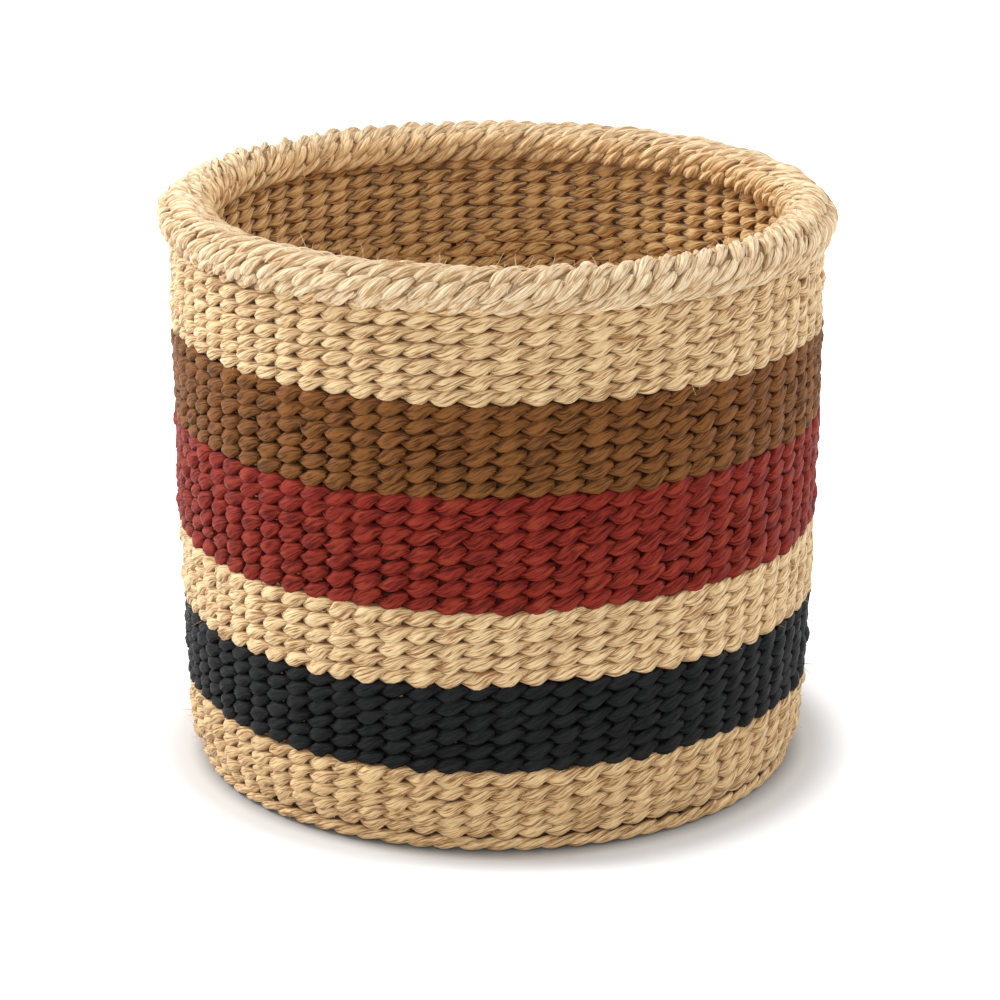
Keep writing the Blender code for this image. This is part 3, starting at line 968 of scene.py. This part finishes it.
def start_warp(number):
    """A cord across the centre of the base: five lie side by side and four cross over them."""
    upper = number >= CROSS_LOWER_WARPS
    group = START_WARPS - CROSS_LOWER_WARPS if upper else CROSS_LOWER_WARPS
    rank = number - CROSS_LOWER_WARPS if upper else number
    side = rank - (group - 1) / 2
    first_leg = number - CROSS_LOWER_WARPS // 2
    heading = LEG_STEP * (first_leg - side + 0.5)
    offset = side * (WARP_WIDTH + GAP)
    along = math.sqrt(CROSS_REACH**2 - offset**2)
    step = (WARP_THICKNESS + GAP) / 2
    level = WARP_LEVEL + (step if upper else -step)
    near = math.degrees(math.atan2(offset, along))
    here = polar(CROSS_REACH, heading + near, level)
    there = polar(CROSS_REACH, heading + 180 - near, level)
    opposite = first_leg + START_WARPS - round(2 * side)
    legs = 2 * START_WARPS
    return start_leg(opposite % legs)[::-1] + [there, here] + start_leg(first_leg % legs)


def folded_warp(middle, half_spread, radius, stages):
    """A cord folded in half round the last row, with a leg on either side."""
    fold = radius + FOLD_SETBACK
    legs = []
    for side in (-1, 1):
        degrees = middle + side * half_spread
        leg = [
            polar(fold, middle + side * half_spread / 2, WARP_LEVEL),
            polar(fold + FOLD_DEPTH, degrees, WARP_LEVEL),
        ]
        if stages == 2:
            degrees = second_stage(degrees)
            leg.append(polar(SECOND_ADDING_RADIUS, degrees, WARP_LEVEL))
        legs.append(leg + wall_leg(degrees))
    return legs[0][::-1] + legs[1]


def spread_points(points, spacing):
    """Points at an even spacing along a path of straight runs, rounded a little at its corners."""
    points = np.array(points)
    distance = np.concatenate([[0.0], np.cumsum(np.linalg.norm(np.diff(points, axis=0), axis=-1))])
    count = int(distance[-1] / spacing) + 2
    place = np.linspace(0.0, distance[-1], count)
    line = np.stack([np.interp(place, distance, points[:, axis]) for axis in range(3)], axis=-1)
    soft = line.copy()
    for _ in range(2):
        soft[1:-1] = (soft[:-2] + 2 * soft[1:-1] + soft[2:]) / 4
    return soft


class KIONDO_OT_lay_warps(bpy.types.Operator):
    """Lays the upright cords that the weft is twined round."""

    bl_idname = "kiondo.lay_warps"
    bl_label = "Lay warps"

    def execute(self, context):
        groups = {
            "start_warp": [start_warp(number) for number in range(START_WARPS)],
            "first_added_warp": [
                folded_warp(2 * LEG_STEP * number, WARP_STEP, FIRST_ADDING_RADIUS, 2)
                for number in range(START_WARPS)
            ],
            "second_added_warp": [
                folded_warp(LEG_STEP * number, WARP_STEP / 2, SECOND_ADDING_RADIUS, 1)
                for number in range(2 * START_WARPS)
            ],
        }
        random = np.random.default_rng(500)
        for group, paths in groups.items():
            strands = Strands(sides=12)
            for path in paths:
                centres = spread_points(path, 2.4 * MM)
                rings = len(centres)
                # The flat side of a warp faces out of the wall or base
                radial = centres.copy()
                radial[:, 2] = 0.0
                on_base = smooth((WARP_TURN_RADIUS - np.linalg.norm(radial, axis=-1)) / (4 * MM))
                on_base = on_base[:, None]
                strands.add(
                    centres,
                    unit(radial) * (1 - on_base) + np.array([0, 0, -1.0]) * on_base,
                    WARP_THICKNESS / 2,
                    WARP_WIDTH / 2,
                    fibre_relief(random, rings, strands.sides, 4, WARP_RELIEF),
                    0.35 * np.arange(rings),
                    map_offset(random),
                    tint=random.normal(0.0, 1.0),
                    warmth=random.normal(0.0, 1.0),
                    # The warps are darkened a little as painted shade
                    depth=0.6,
                )
            if group == "start_warp":
                self.close_centre(strands)
            nodes = [f"{group}_{number + 1}" for number in range(len(paths))]
            strands.build(group + "s_dressed", "foot", "natural_sisal", *nodes)
        return {"FINISHED"}

    @staticmethod
    def close_centre(strands):
        """A flat wad of fibre between the two layers of the cross, so that no light comes through; its
        colour is darkened as painted shade.
        """
        reach = np.linspace(-0.99, 0.99, 15)
        centres = np.stack([WAD_RADIUS * reach, 0 * reach, WARP_LEVEL + 0 * reach], axis=-1)
        up = np.repeat(np.array([[0.0, 0.0, 1.0]]), len(reach), axis=0)
        strands.add(centres, up, WAD_THICKNESS, WAD_RADIUS * np.sqrt(1 - reach**2), depth=1.4)


class KIONDO_OT_twine_foot_cord(bpy.types.Operator):
    """Twists the heavier two-strand cord round the edge of the base."""

    bl_idname = "kiondo.twine_foot_cord"
    bl_label = "Twine foot cord"

    def execute(self, context):
        low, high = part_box("foot_cord")
        cord_radius = (high[2] - low[2]) / 2
        ring_radius = (high[0] - low[0]) / 2 - cord_radius
        count = STITCHES * CORD_SAMPLES + 1
        stitch = np.arange(count) / CORD_SAMPLES
        for side, letter in enumerate("ab"):
            random = np.random.default_rng(600 + side)
            strands = Strands(sides=20, edge_shade=0.65)
            sway = CORD_SWAY * drift(stitch * STITCH_ANGLE, 0.0, 2.1)
            angle = TURN_START + (stitch + sway) * STITCH_ANGLE
            phase = math.pi * (stitch - side)
            lay = phase - CORD_LEAN * np.sin(phase)
            radius = ring_radius + CORD_OUT * cord_radius * np.cos(lay)
            height = cord_radius * (CORD_MIDDLE + CORD_UP * np.sin(lay))
            bead = np.floor(stitch - side + 0.5).astype(int)
            bead = bead - bead.min()
            swell = 1 + per_bead(random, bead, CORD_SWELL) * np.cos(phase) ** 2
            front = smooth(0.5 + 0.5 * np.cos(phase))
            strands.add(
                around(np.stack([radius, height], axis=-1), angle),
                level_outward(angle),
                CORD_DEPTH * cord_radius * swell,
                cord_radius * lerp(*CORD_WIDTHS, front) * swell,
                fibre_relief(random, count, strands.sides, CORD_SAMPLES, CORD_RELIEF),
                -PLY_TWIST * stitch,
                map_offset(random),
                tint=per_bead(random, bead, 1.0),
                warmth=per_bead(random, bead, 1.0),
                # Painted shade where a strand passes behind the other
                depth=1 - front,
            )
            strands.build(f"foot_cord_strand_{letter}", "foot", "natural_sisal", "foot_cord")
        return {"FINISHED"}


def rim_point(angle, turn, lift):
    """Centre of a strand on the rim: turn goes from 0 outside over 90 on top to 180 inside."""
    section = np.stack(
        [
            RIM_RADIUS + (RIM_HALF_WIDTH + lift) * np.cos(turn),
            RIM_MIDDLE + (RIM_HALF_HEIGHT + lift) * np.sin(turn),
        ],
        axis=-1,
    )
    outward = unit(
        np.stack([np.cos(turn) / RIM_HALF_WIDTH, np.sin(turn) / RIM_HALF_HEIGHT], axis=-1)
    )
    return around(section, angle), around(outward, angle)


class RimTier(NamedTuple):
    """One tier of bundles on the rim, each laid like the one before it.

    The turn goes from first to last in degrees, fast at first where rise is above 1. reach is how far a
    bundle runs along the rim, in stitches; width and depth are its half sizes, in mm; turns is how often
    its plies go round each other; lift is the height of its middle above the roll's skin and tuck how
    far its ends go in, in mm; start is where it stands between two places in its tier.
    """

    name: str
    first: float
    last: float
    reach: float
    width: float
    depth: float
    turns: float
    lift: float
    tuck: float
    rise: float
    start: float


RIM_TIERS = (
    RimTier("outer_low", -68, -6, 1.15, 2.9, 2.3, 0.12, -0.6, 1.3, 1.0, 0.0),
    RimTier("outer_middle", -20, 44, 1.05, 2.9, 2.2, 0.12, -0.6, 1.4, 1.0, 0.35),
    RimTier("top", 30, 100, 1.3, 3.0, 2.4, 0.15, -0.7, 1.8, 1.6, 0.8),
    RimTier("crown", 76, 138, 1.05, 2.9, 2.1, 0.12, -1.1, 1.3, 1.0, 0.3),
    RimTier("inner_middle", 122, 184, 1.05, 2.9, 2.2, 0.12, -0.8, 1.3, 1.0, 0.75),
    RimTier("inner_low", 170, 236, 1.1, 2.9, 2.2, 0.12, -0.8, 1.3, 1.0, 0.2),
)
# How much one bundle differs from the next: place in bundles, reach, turn in radians, size, spin in
# radians, height, then the height and size of a single ply
PLACE_SPREAD = 0.07
REACH_SPREAD = 0.1
TURN_SPREAD = 0.07
SWELL_SPREAD = 0.08
SPIN_SPREAD = 0.3
RISE_SPREAD = 0.18 * MM
PLY_RISE_SPREAD = 0.14 * MM
PLY_SWELL_SPREAD = 0.1

BUNDLES = 90
BUNDLE_RINGS = 18
CORE_RINGS = 6

CORE_HALF_WIDTH = RIM_HALF_WIDTH - 1.9 * MM
CORE_HALF_HEIGHT = RIM_HALF_HEIGHT - 1.6 * MM

# Under the bundles, the core and a ring that closes the neck between the rim and the wall: radius,
# height, half width, half height, relief and how deep it lies for the shade of its colour
CORE_AND_NECK = (
    (RIM_RADIUS, RIM_MIDDLE - 0.3 * MM, CORE_HALF_WIDTH, CORE_HALF_HEIGHT, 0.03, 1.25),
    (117.6 * MM, RIM_MIDDLE - 8.6 * MM, 1.4 * MM, 3.6 * MM, 0.02, 1.9),
)

# Half width and half depth of each of the three plies, as shares of their bundle
PLY_WIDTH = 0.38
PLY_DEPTH = 0.55


def lay_tier(tier, random):
    """All bundles of one tier of the rim."""
    strands = Strands(sides=10, edge_shade=0.8)
    share = np.linspace(0.0, 1.0, BUNDLE_RINGS)
    arch = np.sin(math.pi * share)
    tier_width = tier.width * MM
    tier_depth = tier.depth * MM
    for number in range(BUNDLES):
        place = number + tier.start + random.normal(0.0, PLACE_SPREAD)
        middle = TURN_START + place * FULL_TURN / BUNDLES
        reach = tier.reach * (1 + random.normal(0.0, REACH_SPREAD))
        first = math.radians(tier.first) + random.normal(0.0, TURN_SPREAD)
        last = math.radians(tier.last) + random.normal(0.0, TURN_SPREAD)
        tint = random.normal(0.0, 1.0)
        warmth = random.normal(0.0, 1.0)
        swell = 1 + random.normal(0.0, SWELL_SPREAD)
        spin = random.normal(0.0, SPIN_SPREAD)
        rise = random.normal(0.0, RISE_SPREAD)
        for side in (-1.0, 0.0, 1.0):
            wander = FULL_TURN * tier.turns * (share - 0.5) + spin
            spread = (1 - PLY_WIDTH) * side * (0.6 + 0.4 * arch) * swell
            across = spread * tier_width * np.cos(wander)
            # The middle ply lies higher than the two beside it
            crown = tier_depth * (0.35 - 0.7 * side * side) * (0.3 + 0.7 * arch)
            up = spread * tier_depth * np.sin(wander) + crown
            angle = middle + reach * STITCH_ANGLE * (share - 0.5) + 0.7 * across / RIM_RADIUS
            turn = lerp(first, last, 1 - (1 - share) ** tier.rise) - 0.7 * across / RIM_HALF_WIDTH
            lift = tier.lift * MM - tier.tuck * MM * (1 - arch) ** 1.6 + rise + up
            lift = lift + random.normal(0.0, PLY_RISE_SPREAD)
            centres, outward = rim_point(angle, turn, lift)
            taper = lerp(0.6, 1.0, arch**0.8) * swell * (1 + random.normal(0.0, PLY_SWELL_SPREAD))
            strands.add(
                centres,
                outward,
                tier_depth * PLY_DEPTH * taper,
                tier_width * PLY_WIDTH * taper,
                fibre_relief(random, BUNDLE_RINGS, strands.sides, 7, RIM_RELIEF),
                random.uniform(0.0, 1.0) - 0.07 * np.arange(BUNDLE_RINGS),
                map_offset(random),
                tint=0.6 * tint + random.normal(0.0, 0.9),
                warmth=warmth + random.normal(0.0, 0.5),
                # Painted shade at the tucked ends of a bundle and at the outer edges of its side plies,
                # and the painted shade of the inside on the rim's inner side
                depth=(1 - arch) ** 2 + 0.35 * abs(side),
                inside=1.3 * smooth(np.degrees(turn) / 90 - 1.1),
            )
    return strands


def add_ring(strands, random, radius, height, half_width, half_height, relief, depth):
    """A closed ring of fibre round the basket, under the bundles of the rim."""
    rings = CORE_RINGS * STITCHES + 1
    angle = TURN_START + FULL_TURN * np.arange(rings) / (rings - 1)
    strands.add(
        around(np.stack([radius + 0 * angle, height + 0 * angle], axis=-1), angle),
        level_outward(angle),
        half_width,
        half_height,
        fibre_relief(random, rings, strands.sides, 12, relief),
        0.05 * np.arange(rings),
        depth=depth,
    )


class KIONDO_OT_bind_rim(bpy.types.Operator):
    """Wraps the strands of the rim over its core."""

    bl_idname = "kiondo.bind_rim"
    bl_label = "Bind rim"

    def execute(self, context):
        random = np.random.default_rng(700)
        # The rim's lighter tone paints the top light on the rim
        for tier in RIM_TIERS:
            strands = lay_tier(tier, random)
            strands.build("rim_binding_" + tier.name, "rim", "natural_sisal", "rim_binding")
        core = Strands(sides=24)
        for ring in CORE_AND_NECK:
            add_ring(core, random, *ring)
        core.build("rim_core_dressed", "rim", "natural_sisal", "rim_core")
        return {"FINISHED"}


def add_hair(strands, random, start, heading, longest, thinnest, thickest):
    """One loose fibre end: a thin tapered tube that bends as it leaves the weave; sizes are in mm."""
    length = random.uniform(2.0, longest) * MM
    thickness = random.uniform(thinnest, thickest) * MM
    heading = heading / np.linalg.norm(heading)
    rings = 7
    share = np.linspace(0.0, 1.0, rings)[:, None]
    bend = random.normal(0.0, 0.45, 3)
    centres = start + length * (share * heading + share**2 * bend)
    size = thickness * lerp(1.0, 0.45, share[:, 0])
    strands.add(
        centres,
        np.repeat(np.array([[0.3, 0.2, 0.93]]), rings, axis=0),
        size,
        size,
        offset=map_offset(random),
        tint=random.normal(1.5, 1.0),
        warmth=random.normal(0.0, 1.0),
    )


# Loose fibre ends: in each row of a band, on the whole rim, and how deep their roots lie there
ENDS_IN_ROW = 45
ENDS_ON_RIM = 900
ROOT_IN_WALL = 1.3 * MM
ROOT_IN_RIM = 0.6 * MM


class KIONDO_OT_scatter_fibres(bpy.types.Operator):
    """Lets the ends of single fibres stand out where the strands pass between the warps."""

    bl_idname = "kiondo.scatter_fibres"
    bl_label = "Scatter fibres"

    def execute(self, context):
        for number, (node, tone, slot, rows) in enumerate(BANDS):
            random = np.random.default_rng(800 + number)
            strands = Strands(sides=3)
            start = ROW_MARKS[number]
            for _ in range(ENDS_IN_ROW * rows):
                row = start + random.uniform(0.1, rows - 0.1)
                stitch = round(row * STITCHES) + 0.5 + random.normal(0.0, 0.12)
                angle = TURN_START + stitch * STITCH_ANGLE
                row = stitch / STITCHES + random.uniform(-0.4, 0.4)
                outer, inner = skins(np.array([row]))
                out = around(unit(outer - inner), np.array([angle]))[0]
                along = np.array([-math.sin(angle), math.cos(angle), 0.0])
                rise = np.array([0.0, 0.0, 1.0])
                start_point = around(outer, np.array([angle]))[0] - ROOT_IN_WALL * out
                heading = random.normal(0.0, 0.8) * along + random.normal(0.1, 0.6) * rise
                heading = heading + random.uniform(0.25, 0.9) * out
                add_hair(strands, random, start_point, heading, 5.0, 0.08, 0.14)
            strands.build(f"{node}_loose_fibres", tone, slot, node)
        random = np.random.default_rng(900)
        strands = Strands(sides=3)
        for _ in range(ENDS_ON_RIM):
            angle = random.uniform(0.0, FULL_TURN)
            turn = math.radians(random.uniform(-75.0, 195.0))
            centre, out = rim_point(np.array([angle]), np.array([turn]), -ROOT_IN_RIM)
            along = np.array([-math.sin(angle), math.cos(angle), 0.0])
            heading = random.normal(0.3, 0.8) * along + random.uniform(0.3, 1.0) * out[0]
            heading = heading + random.normal(0.0, 0.5, 3)
            add_hair(strands, random, centre[0], heading, 6.0, 0.09, 0.16)
        strands.build("rim_loose_fibres", "rim", "natural_sisal", "rim_binding")
        return {"FINISHED"}


# Camera that fits the outline of the basket in the photograph
CAMERA_DISTANCE = 1.463
CAMERA_ELEVATION = math.radians(18.53)
CAMERA_TARGET_HEIGHT = 0.0968
CAMERA_LENS = 138.2
CAMERA_SHIFT = 0.0029

WHITE = (1.0, 1.0, 1.0, 1.0)
OPEN_FLOOR = (0.78, 0.79, 0.8, 1.0)
PAINTED_CONTACT_SHADOW = (0.45, 0.45, 0.45, 1.0)
FLOOR_REACH = 6.0
AMBIENT = 0.36
LAMP_TARGET = (0.0, 0.0, 0.1)

# Where the painted contact shadow on the floor under the basket ends, and two rings of glow that leave a
# painted soft shadow inside them: distance from the axis where each sets in and where it is full, and
# its strength
OPEN_FLOOR_FROM = (0.112, 0.121, 1.0)
FLOOR_GLOWS = ((0.12, 0.142, 0.5), (0.14, 0.27, 0.7))

# Soft lamps: name, place, size and watts
LAMPS = (
    ("key", (-1.7, 0.4, 1.3), 1.0, 43.0),
    ("fill", (1.7, 0.4, 0.9), 1.0, 18.0),
    ("front", (-0.3, -2.2, 1.0), 1.2, 20.5),
    ("top", (0.0, 0.1, 2.2), 1.4, 5.0),
)


class KIONDO_OT_set_stage(bpy.types.Operator):
    """Sets the pale floor, the soft studio light and the camera."""

    bl_idname = "kiondo.set_stage"
    bl_label = "Set stage"

    def execute(self, context):
        scene = context.scene
        mesh = bpy.data.meshes.new("floor")
        corners = [(-FLOOR_REACH, -FLOOR_REACH, 0), (FLOOR_REACH, -FLOOR_REACH, 0)]
        corners += [(FLOOR_REACH, FLOOR_REACH, 0), (-FLOOR_REACH, FLOOR_REACH, 0)]
        mesh.from_pydata(corners, [], [(0, 1, 2, 3)])
        floor = bpy.data.objects.new("floor", mesh)
        scene.collection.objects.link(floor)
        material = bpy.data.materials.new("pale_floor")
        nodes = Nodes(material)
        place = nodes.add("ShaderNodeNewGeometry", {}, {}, "Position")
        distance = nodes.add("ShaderNodeVectorMath", {"operation": "LENGTH"}, {0: place}, "Value")
        glow = nodes.rise(distance, *FLOOR_GLOWS[0]) + nodes.rise(distance, *FLOOR_GLOWS[1])
        # The floor is painted darker under the basket as a contact shadow
        open_floor = nodes.rise(distance, *OPEN_FLOOR_FROM)
        surface = {
            "Base Color": nodes.mix(open_floor, PAINTED_CONTACT_SHADOW, OPEN_FLOOR),
            "Roughness": 0.9,
            "Emission Color": WHITE,
            "Emission Strength": nodes.seen() * glow,
        }
        nodes.surface(surface)
        mesh.materials.append(material)

        world = bpy.data.worlds.new("studio")
        scene.world = world
        nodes = Nodes(world)
        ambient = nodes.add("ShaderNodeBackground", {}, {"Color": WHITE, "Strength": AMBIENT})
        white = nodes.add("ShaderNodeBackground", {}, {"Color": WHITE, "Strength": 1.0})
        shade = nodes.add("ShaderNodeMixShader", {}, {0: nodes.seen(), 1: ambient, 2: white})
        nodes.add("ShaderNodeOutputWorld", {}, {"Surface": shade})

        for name, place, size, power in LAMPS:
            lamp = bpy.data.lights.new(name, "AREA")
            lamp.size = size
            lamp.energy = power
            item = bpy.data.objects.new(name, lamp)
            item.location = place
            away = Vector(place) - Vector(LAMP_TARGET)
            item.rotation_euler = away.to_track_quat("Z", "Y").to_euler()
            scene.collection.objects.link(item)

        camera = bpy.data.cameras.new("camera")
        camera.lens = CAMERA_LENS
        camera.sensor_width = 36.0
        camera.shift_x = CAMERA_SHIFT
        camera.clip_start = 0.05
        camera.clip_end = 50.0
        item = bpy.data.objects.new("camera", camera)
        item.location = (
            0.0,
            -CAMERA_DISTANCE * math.cos(CAMERA_ELEVATION),
            CAMERA_TARGET_HEIGHT + CAMERA_DISTANCE * math.sin(CAMERA_ELEVATION),
        )
        item.rotation_euler = (math.pi / 2 - CAMERA_ELEVATION, 0.0, 0.0)
        scene.collection.objects.link(item)
        scene.camera = item
        scene.view_settings.view_transform = "Standard"
        return {"FINISHED"}


class KIONDO_PT_basket(bpy.types.Panel):
    """Lists the sizes, the colours and the steps of the weave."""

    bl_idname = "KIONDO_PT_basket"
    bl_label = "Kiondo basket"
    bl_space_type = "VIEW_3D"
    bl_region_type = "UI"
    bl_category = "Kiondo"

    def draw(self, context):
        layout = self.layout
        scene = context.scene
        for group in (scene.kiondo_weave, scene.kiondo_shape, scene.kiondo_colours):
            for name in type(group).__annotations__:
                layout.prop(group, name)
        for step in STEPS:
            layout.operator(step.bl_idname)


STEPS = (
    KIONDO_OT_set_stage,
    KIONDO_OT_lay_warps,
    KIONDO_OT_weave_base,
    KIONDO_OT_twine_foot_cord,
    KIONDO_OT_weave_bands,
    KIONDO_OT_bind_rim,
    KIONDO_OT_scatter_fibres,
)
CLASSES = (KIONDO_PG_weave, KIONDO_PG_shape, KIONDO_PG_colours, *STEPS, KIONDO_PT_basket)


def register():
    for item in CLASSES:
        bpy.utils.register_class(item)
    bpy.types.Scene.kiondo_weave = bpy.props.PointerProperty(type=KIONDO_PG_weave)
    bpy.types.Scene.kiondo_shape = bpy.props.PointerProperty(type=KIONDO_PG_shape)
    bpy.types.Scene.kiondo_colours = bpy.props.PointerProperty(type=KIONDO_PG_colours)


def unregister():
    del bpy.types.Scene.kiondo_colours
    del bpy.types.Scene.kiondo_shape
    del bpy.types.Scene.kiondo_weave
    for item in reversed(CLASSES):
        bpy.utils.unregister_class(item)


def main():
    register()
    bpy.ops.kiondo.set_stage()
    bpy.ops.kiondo.lay_warps()
    bpy.ops.kiondo.weave_base()
    bpy.ops.kiondo.twine_foot_cord()
    bpy.ops.kiondo.weave_bands()
    bpy.ops.kiondo.bind_rim()
    bpy.ops.kiondo.scatter_fibres()


if __name__ == "__main__":
    main()
